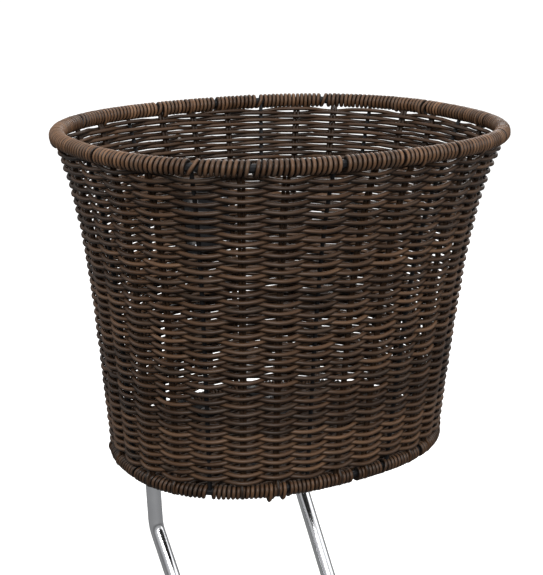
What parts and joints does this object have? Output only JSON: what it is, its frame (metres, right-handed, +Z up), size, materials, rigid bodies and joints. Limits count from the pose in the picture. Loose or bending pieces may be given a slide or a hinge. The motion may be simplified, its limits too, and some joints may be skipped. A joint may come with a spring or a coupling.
{
  "type": "bicycle basket",
  "caption": "Oval flared woven basket on a steel wire frame, with a bracket for the headset behind it and a swinging chromed stay that runs down to the front axle.",
  "frame": {"origin": "centre of the steerer hole in the headset bracket, behind the basket", "axes": "+Z up with the wheels on level ground, -Y towards the front of the bicycle, +X towards the bicycle's left side"},
  "size_m": [0.3654, 0.389, 0.6628],
  "materials": {
    "rattan_wrap": "dark brown resin strand, soft gloss",
    "rattan_weave": "dark brown resin strand, soft gloss",
    "black_wire": "black powder coat",
    "black_bracket": "black powder coat",
    "chrome_stay": "bright chrome",
    "zinc_fasteners": "bright zinc"
  },
  "bodies": {
    "basket": {"top_rim_wire": "black_wire", "top_rim_wrap": "rattan_wrap", "base_rim_wire": "black_wire", "base_rim_wrap": "rattan_wrap", "frame_uprights": "black_wire", "rattan_stakes": "rattan_weave", "wall_weave_lower": "rattan_weave", "wall_weave_middle": "rattan_weave", "wall_weave_upper": "rattan_weave", "base_grid_wires": "black_wire", "base_weave": "rattan_weave", "headset_bracket": "black_bracket", "bracket_backing_plate": "black_bracket", "bracket_screws": "zinc_fasteners", "bracket_washers": "zinc_fasteners", "bracket_nuts": "zinc_fasteners", "stay_saddle_left": "black_bracket", "stay_saddle_right": "black_bracket", "saddle_plate_left": "black_bracket", "saddle_plate_right": "black_bracket", "saddle_screws": "zinc_fasteners", "saddle_washers": "zinc_fasteners", "saddle_nuts": "zinc_fasteners"},
    "stay": {"support_stay": "chrome_stay", "stay_eye_left": "chrome_stay", "stay_eye_right": "chrome_stay"}
  },
  "joints": [
    {"name": "stay_swing", "type": "hinge", "parent": "basket", "child": "stay", "pos_m": [0, -0.125, -0.1783], "axis": [1, 0, 0], "range_deg": [-35, 30]}
  ]
}
